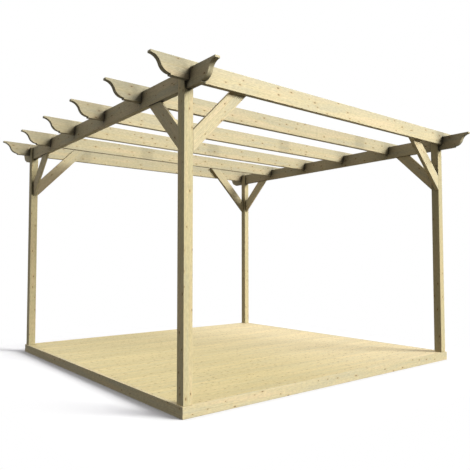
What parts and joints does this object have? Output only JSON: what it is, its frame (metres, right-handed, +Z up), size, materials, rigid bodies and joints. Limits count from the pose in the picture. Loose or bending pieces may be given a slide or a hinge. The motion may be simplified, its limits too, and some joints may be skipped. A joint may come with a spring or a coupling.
{
  "type": "wooden pergola with deck",
  "caption": "Open garden pergola of planed softwood: slotted posts on a square deck carry beams, halved rafters with ogee tails and knee braces.",
  "frame": {"origin": "on the ground under the middle of the deck", "axes": "+X along the rafters to the right, +Y along the beams to the back, +Z up"},
  "size_m": [4.2, 4.29, 2.617],
  "materials": {
    "frame_timber": "planed, pressure treated",
    "deck_timber": "planed, pressure treated",
    "joist_timber": "sawn, pressure treated"
  },
  "bodies": {
    "root": {"fascia_front": "deck_timber", "fascia_back": "deck_timber", "fascia_left": "deck_timber", "fascia_right": "deck_timber", "deck_boards": "deck_timber", "joist_1": "joist_timber", "joist_2": "joist_timber", "joist_3": "joist_timber", "joist_4": "joist_timber", "joist_5": "joist_timber", "post_front_left": "frame_timber", "post_front_right": "frame_timber", "post_back_left": "frame_timber", "post_back_right": "frame_timber", "beam_left": "frame_timber", "beam_right": "frame_timber", "rafter_1": "frame_timber", "rafter_2": "frame_timber", "rafter_3": "frame_timber", "rafter_4": "frame_timber", "rafter_5": "frame_timber", "rafter_6": "frame_timber", "front_brace_left": "frame_timber", "front_brace_right": "frame_timber", "back_brace_left": "frame_timber", "back_brace_right": "frame_timber", "side_brace_front_left": "frame_timber", "side_brace_front_right": "frame_timber", "side_brace_back_left": "frame_timber", "side_brace_back_right": "frame_timber"}
  },
  "joints": []
}
